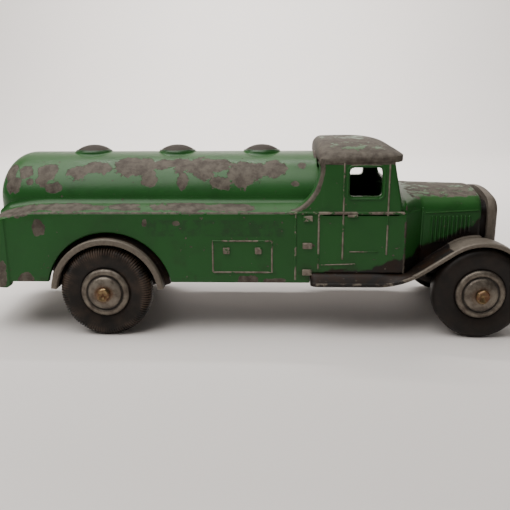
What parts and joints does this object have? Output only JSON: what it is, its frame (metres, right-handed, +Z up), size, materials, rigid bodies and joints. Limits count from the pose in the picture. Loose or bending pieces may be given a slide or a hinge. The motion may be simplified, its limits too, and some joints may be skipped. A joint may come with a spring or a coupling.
{
  "type": "toy tank wagon",
  "caption": "Vintage die-cast toy petrol tank lorry with chipped green enamel, black cast chassis, tin radiator and free rolling rubber tyred wheels.",
  "frame": {"origin": "on the ground under the middle of the length and width", "axes": "+X forward to the radiator, +Y to the driver's left, +Z up"},
  "size_m": [0.105, 0.036, 0.0356],
  "materials": {
    "body_enamel": "aged gloss enamel on zinc alloy, chipped to bare metal",
    "chassis_enamel": "thin black enamel on zinc alloy, edges worn bare",
    "radiator_tin": "black enamel on pressed tin, rubbed",
    "rivet_zinc": "dull grey, hammered over",
    "axle_steel": "tarnished bright wire, rusty round the ends",
    "hub_zinc": "bare zinc alloy, dull and grimy",
    "tyre_rubber": "old black rubber, slightly shiny"
  },
  "bodies": {
    "truck": {"body_casting": "body_enamel", "chassis_casting": "chassis_enamel", "radiator": "radiator_tin", "front_rivet": "rivet_zinc", "rear_rivet": "rivet_zinc"},
    "front_axle_body": {"front_axle": "axle_steel"},
    "rear_axle_body": {"rear_axle": "axle_steel"},
    "wheel_front_left": {"hub_front_left": "hub_zinc", "tyre_front_left": "tyre_rubber"},
    "wheel_front_right": {"hub_front_right": "hub_zinc", "tyre_front_right": "tyre_rubber"},
    "wheel_rear_left": {"hub_rear_left": "hub_zinc", "tyre_rear_left": "tyre_rubber"},
    "wheel_rear_right": {"hub_rear_right": "hub_zinc", "tyre_rear_right": "tyre_rubber"}
  },
  "joints": [
    {"name": "front_axle_spin", "type": "hinge", "parent": "truck", "child": "front_axle_body", "pos_m": [0.0415, 0, 0.0085], "axis": [0, 1, 0], "continuous": true},
    {"name": "rear_axle_spin", "type": "hinge", "parent": "truck", "child": "rear_axle_body", "pos_m": [-0.027, 0, 0.0085], "axis": [0, 1, 0], "continuous": true},
    {"name": "wheel_front_left_spin", "type": "hinge", "parent": "front_axle_body", "child": "wheel_front_left", "pos_m": [0.0415, 0, 0.0085], "axis": [0, 1, 0], "continuous": true},
    {"name": "wheel_front_right_spin", "type": "hinge", "parent": "front_axle_body", "child": "wheel_front_right", "pos_m": [0.0415, 0, 0.0085], "axis": [0, 1, 0], "continuous": true},
    {"name": "wheel_rear_left_spin", "type": "hinge", "parent": "rear_axle_body", "child": "wheel_rear_left", "pos_m": [-0.027, 0, 0.0085], "axis": [0, 1, 0], "continuous": true},
    {"name": "wheel_rear_right_spin", "type": "hinge", "parent": "rear_axle_body", "child": "wheel_rear_right", "pos_m": [-0.027, 0, 0.0085], "axis": [0, 1, 0], "continuous": true}
  ]
}
